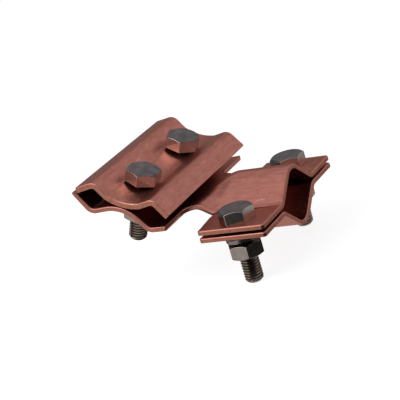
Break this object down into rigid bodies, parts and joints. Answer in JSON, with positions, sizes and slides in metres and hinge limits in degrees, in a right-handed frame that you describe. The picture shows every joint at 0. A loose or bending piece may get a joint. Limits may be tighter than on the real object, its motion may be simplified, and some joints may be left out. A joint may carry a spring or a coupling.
{
  "type": "ground rod clamp",
  "caption": "Copper ground rod clamp: a folded strap grips a rod at one end and round conductors at its leaning end.",
  "frame": {"origin": "middle of the rod's seat, on the rod's axis, midway along the flanges", "axes": "+X along the rod, away from the conductor clamp; +Z along the rod clamp's bolts, towards their heads; +Y along the conductors, to the rear"},
  "size_m": [0.1028, 0.1, 0.0685],
  "materials": {
    "copper": "satin",
    "dark_steel": "satin"
  },
  "bodies": {
    "strap": {"strap": "copper", "conductor_washer_front": "dark_steel", "conductor_washer_rear": "dark_steel"},
    "rod_saddle": {"rod_saddle": "copper", "rod_washer_front": "dark_steel", "rod_washer_rear": "dark_steel"},
    "pressure_plate": {"pressure_plate": "copper"},
    "rod_bolt_front": {"rod_bolt_front": "dark_steel"},
    "rod_nut_front": {"rod_nut_front": "dark_steel"},
    "conductor_bolt_front": {"conductor_bolt_front": "dark_steel"},
    "conductor_nut_front": {"conductor_nut_front": "dark_steel"},
    "rod_bolt_rear": {"rod_bolt_rear": "dark_steel"},
    "rod_nut_rear": {"rod_nut_rear": "dark_steel"},
    "conductor_bolt_rear": {"conductor_bolt_rear": "dark_steel"},
    "conductor_nut_rear": {"conductor_nut_rear": "dark_steel"}
  },
  "joints": [
    {"name": "saddle_drop", "type": "slide", "parent": "strap", "child": "rod_saddle", "axis": [0, 0, -1], "range_m": [0, 0.015]},
    {"name": "plate_lift", "type": "slide", "parent": "strap", "child": "pressure_plate", "axis": [0.3907, 0, 0.9205], "range_m": [0, 0.0105]},
    {"name": "rod_nut_front_turn", "type": "hinge", "parent": "rod_saddle", "child": "rod_nut_front", "pos_m": [0, -0.03651, -0.0124], "axis": [0, 0, -1], "range_deg": [0, 3600]},
    {"name": "rod_bolt_front_spin", "type": "hinge", "parent": "strap", "child": "rod_bolt_front", "pos_m": [0, -0.03651, 0.0021], "axis": [0, 0, 1], "continuous": true},
    {"name": "conductor_bolt_front_turn", "type": "hinge", "parent": "pressure_plate", "child": "conductor_bolt_front", "pos_m": [-0.05672, -0.025, 0.02256], "axis": [0.3907, 0, 0.9205], "range_deg": [0, 2520]},
    {"name": "conductor_nut_front_spin", "type": "hinge", "parent": "strap", "child": "conductor_nut_front", "pos_m": [-0.05672, -0.025, 0.02256], "axis": [-0.3907, 0, -0.9205], "continuous": true},
    {"name": "rod_nut_rear_turn", "type": "hinge", "parent": "rod_saddle", "child": "rod_nut_rear", "pos_m": [0, 0.03651, -0.0124], "axis": [0, 0, -1], "range_deg": [0, 3600]},
    {"name": "rod_bolt_rear_spin", "type": "hinge", "parent": "strap", "child": "rod_bolt_rear", "pos_m": [0, 0.03651, 0.0021], "axis": [0, 0, 1], "continuous": true},
    {"name": "conductor_bolt_rear_turn", "type": "hinge", "parent": "pressure_plate", "child": "conductor_bolt_rear", "pos_m": [-0.05672, 0.025, 0.02256], "axis": [0.3907, 0, 0.9205], "range_deg": [0, 2520]},
    {"name": "conductor_nut_rear_spin", "type": "hinge", "parent": "strap", "child": "conductor_nut_rear", "pos_m": [-0.05672, 0.025, 0.02256], "axis": [-0.3907, 0, -0.9205], "continuous": true}
  ],
  "couplings": [
    {"joint": "rod_nut_front_turn", "follows": "saddle_drop", "rad_per_m": 4188.8},
    {"joint": "conductor_bolt_front_turn", "follows": "plate_lift", "rad_per_m": 4188.8},
    {"joint": "rod_nut_rear_turn", "follows": "saddle_drop", "rad_per_m": 4188.8},
    {"joint": "conductor_bolt_rear_turn", "follows": "plate_lift", "rad_per_m": 4188.8}
  ]
}
